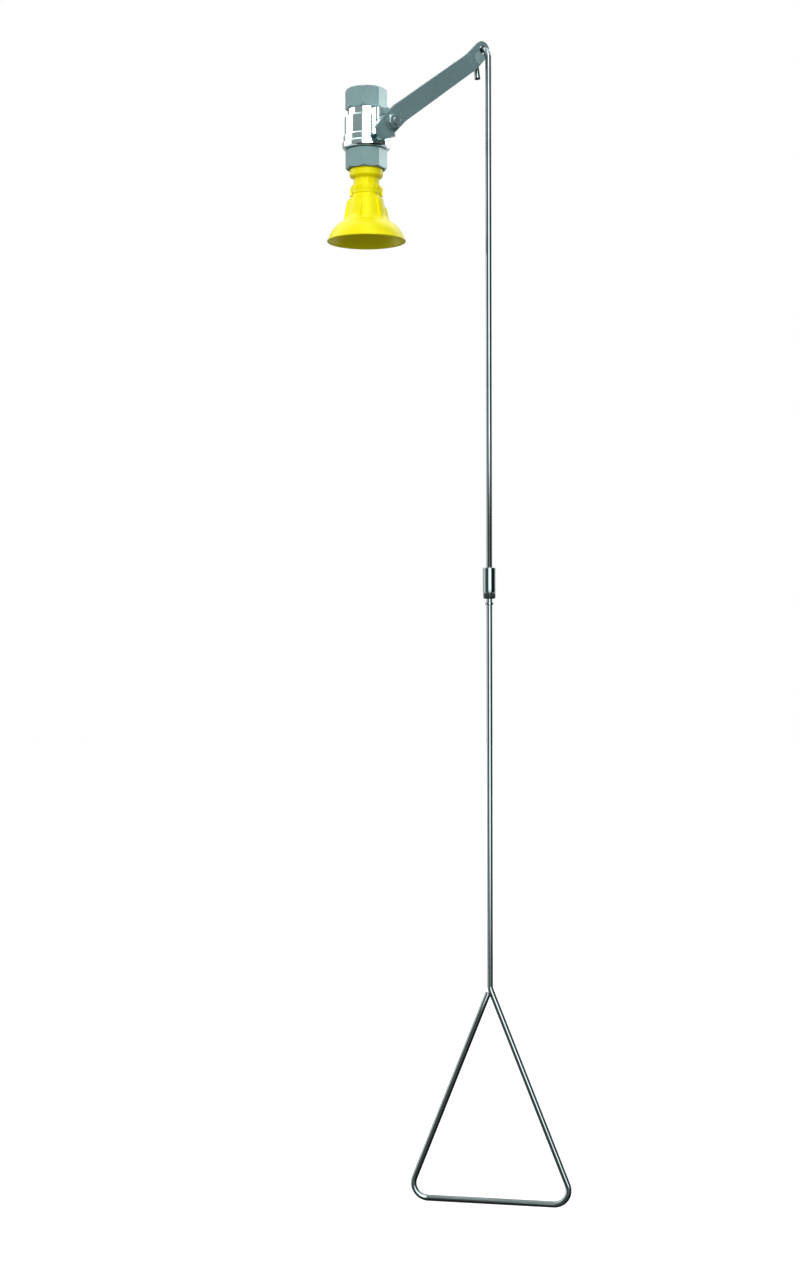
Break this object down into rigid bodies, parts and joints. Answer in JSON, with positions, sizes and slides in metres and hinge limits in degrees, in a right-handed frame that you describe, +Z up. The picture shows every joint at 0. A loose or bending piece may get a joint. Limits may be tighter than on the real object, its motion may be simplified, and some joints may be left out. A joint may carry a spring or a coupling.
{
  "type": "emergency safety shower",
  "caption": "Overhead emergency body shower: a ball valve with a bell-shaped yellow head and a bent lever, pulled by a hooked two-part rod with a triangular handle.",
  "frame": {"origin": "centre of the valve's upper end face, where the supply pipe screws in", "axes": "+Z up along the supply pipe and the valve, -Y along the valve's stem, +X towards the side that the closed lever points to"},
  "size_m": [0.163, 0.2056, 1.142],
  "materials": {
    "nickel_plate": "polished nickel plate",
    "lever_steel": "satin stainless steel",
    "polished_steel": "polished stainless steel",
    "dark_steel": "blackened steel",
    "ball_chrome": "hard chrome",
    "ptfe": "white, waxy",
    "black_rubber": "moulded",
    "white_plastic": "moulded",
    "yellow_plastic": "moulded, semi-gloss"
  },
  "bodies": {
    "valve": {"valve_body": "nickel_plate", "valve_end_cap": "nickel_plate", "body_joint_ring": "ptfe", "upper_seat_ring": "ptfe", "lower_seat_ring": "ptfe", "stem_thrust_washer": "ptfe", "stem_o_ring": "black_rubber", "packing_ring": "ptfe", "gland_nut": "nickel_plate", "head_gasket": "black_rubber", "strainer": "polished_steel", "flow_regulator": "white_plastic", "head_connector": "yellow_plastic", "connector_o_ring": "black_rubber", "shower_bell": "yellow_plastic", "spray_diffuser": "yellow_plastic", "diffuser_screw": "polished_steel"},
    "lever": {"lever": "lever_steel", "lever_washer": "polished_steel", "lever_nut": "lever_steel", "stem": "nickel_plate", "ball": "ball_chrome"},
    "hanging_rod": {"upper_rod": "polished_steel", "coupling_sleeve": "polished_steel"},
    "handle": {"pull_handle": "polished_steel", "lock_nut": "dark_steel", "retaining_ring": "polished_steel"}
  },
  "joints": [
    {"name": "lever_turn", "type": "hinge", "parent": "valve", "child": "lever", "pos_m": [0, 0, -0.0405], "axis": [0, 1, 0], "range_deg": [0, 90]},
    {"name": "rod_hang", "type": "hinge", "parent": "lever", "child": "hanging_rod", "pos_m": [0.07071, -0.0955, 0.03021], "axis": [0, 1, 0], "range_deg": [-90, 0]},
    {"name": "handle_turn", "type": "hinge", "parent": "hanging_rod", "child": "handle", "pos_m": [0.07071, -0.1051, -0.505], "axis": [0, 0, 1], "range_deg": [-180, 180]}
  ],
  "couplings": [
    {"joint": "rod_hang", "follows": "lever_turn", "ratio": -1}
  ]
}
